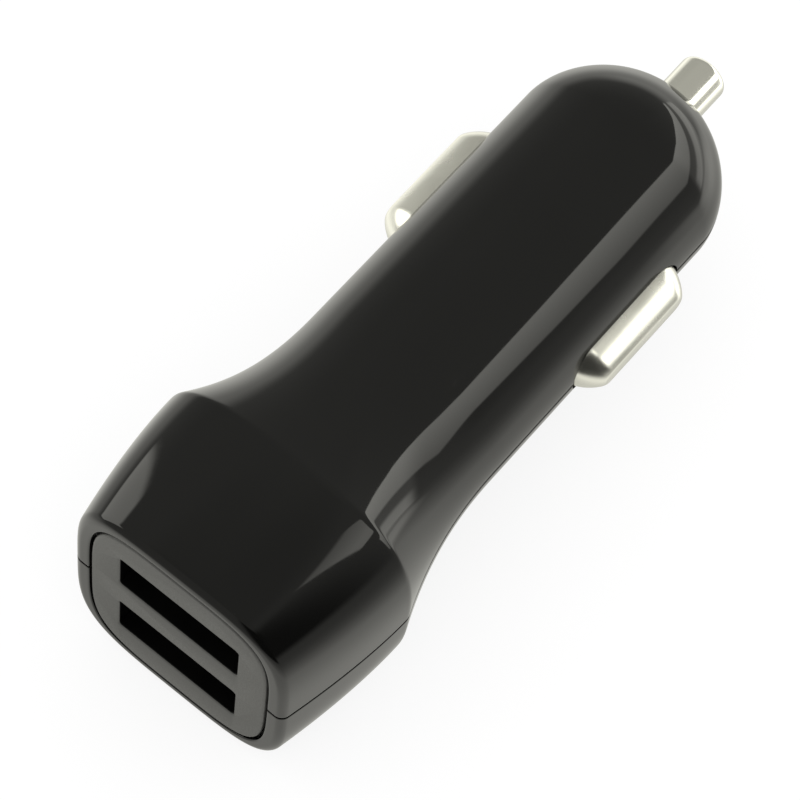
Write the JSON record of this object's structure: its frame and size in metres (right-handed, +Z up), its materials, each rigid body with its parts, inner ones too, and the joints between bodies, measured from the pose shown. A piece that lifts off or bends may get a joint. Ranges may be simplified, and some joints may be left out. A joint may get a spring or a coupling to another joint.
{
  "type": "car usb charger plug",
  "caption": "Car charger plug with stacked USB-A ports, a flared squarish head, a round shank, sprung side contacts and a sprung centre pin.",
  "frame": {"origin": "centre of the port face, on the axis of the shank, at the front of the face plate", "axes": "+Y along the shank axis from the port face to the centre pin's tip, +X across the width of the port slots, +Z up, square to the plane where the two half shells part"},
  "size_m": [0.027, 0.0733, 0.0262],
  "materials": {
    "gloss_shell": "polished black moulding",
    "satin_plate": "satin black moulding",
    "board_laminate": "green solder mask",
    "port_sheet": "plated sheet",
    "black_insulator": "matt",
    "gilt_strip": "gold flash",
    "nickel_plate": "bright nickel plating",
    "spring_bronze": "phosphor bronze",
    "spring_steel": "bright spring wire",
    "seat_brass": "plain brass",
    "ferrite": "pressed ferrite",
    "copper_wire": "enamelled copper",
    "capacitor_can": "drawn aluminium",
    "ceramic": "fired ceramic"
  },
  "bodies": {
    "housing": {"top_shell": "gloss_shell", "bottom_shell": "gloss_shell", "face_plate": "satin_plate", "circuit_board": "board_laminate", "upper_port_shell": "port_sheet", "lower_port_shell": "port_sheet", "upper_port_tongue": "black_insulator", "lower_port_tongue": "black_insulator", "upper_port_strips": "gilt_strip", "lower_port_strips": "gilt_strip", "right_leaf_spring": "spring_bronze", "left_leaf_spring": "spring_bronze", "centre_spring": "spring_steel", "spring_seat": "seat_brass", "choke_core": "ferrite", "choke_winding": "copper_wire", "input_capacitor": "capacitor_can", "output_capacitor": "capacitor_can", "converter_chip": "black_insulator", "port_chip": "black_insulator", "diode": "black_insulator", "fuse": "ceramic", "small_components": "ceramic"},
    "right_contact": {"right_contact": "nickel_plate"},
    "left_contact": {"left_contact": "nickel_plate"},
    "pin": {"centre_pin": "nickel_plate"}
  },
  "joints": [
    {"name": "centre_pin_press", "type": "slide", "parent": "housing", "child": "pin", "axis": [0, -1, 0], "range_m": [0, 0.003], "stiffness_N_per_m": 800, "springref_m": -0.002, "deforming": ["centre_spring"]},
    {"name": "right_contact_press", "type": "slide", "parent": "housing", "child": "right_contact", "axis": [-1, 0, 0], "range_m": [0, 0.002], "stiffness_N_per_m": 1500, "springref_m": -0.001, "deforming": ["right_leaf_spring"]},
    {"name": "left_contact_press", "type": "slide", "parent": "housing", "child": "left_contact", "axis": [1, 0, 0], "range_m": [0, 0.002], "stiffness_N_per_m": 1500, "springref_m": -0.001, "deforming": ["left_leaf_spring"]}
  ]
}
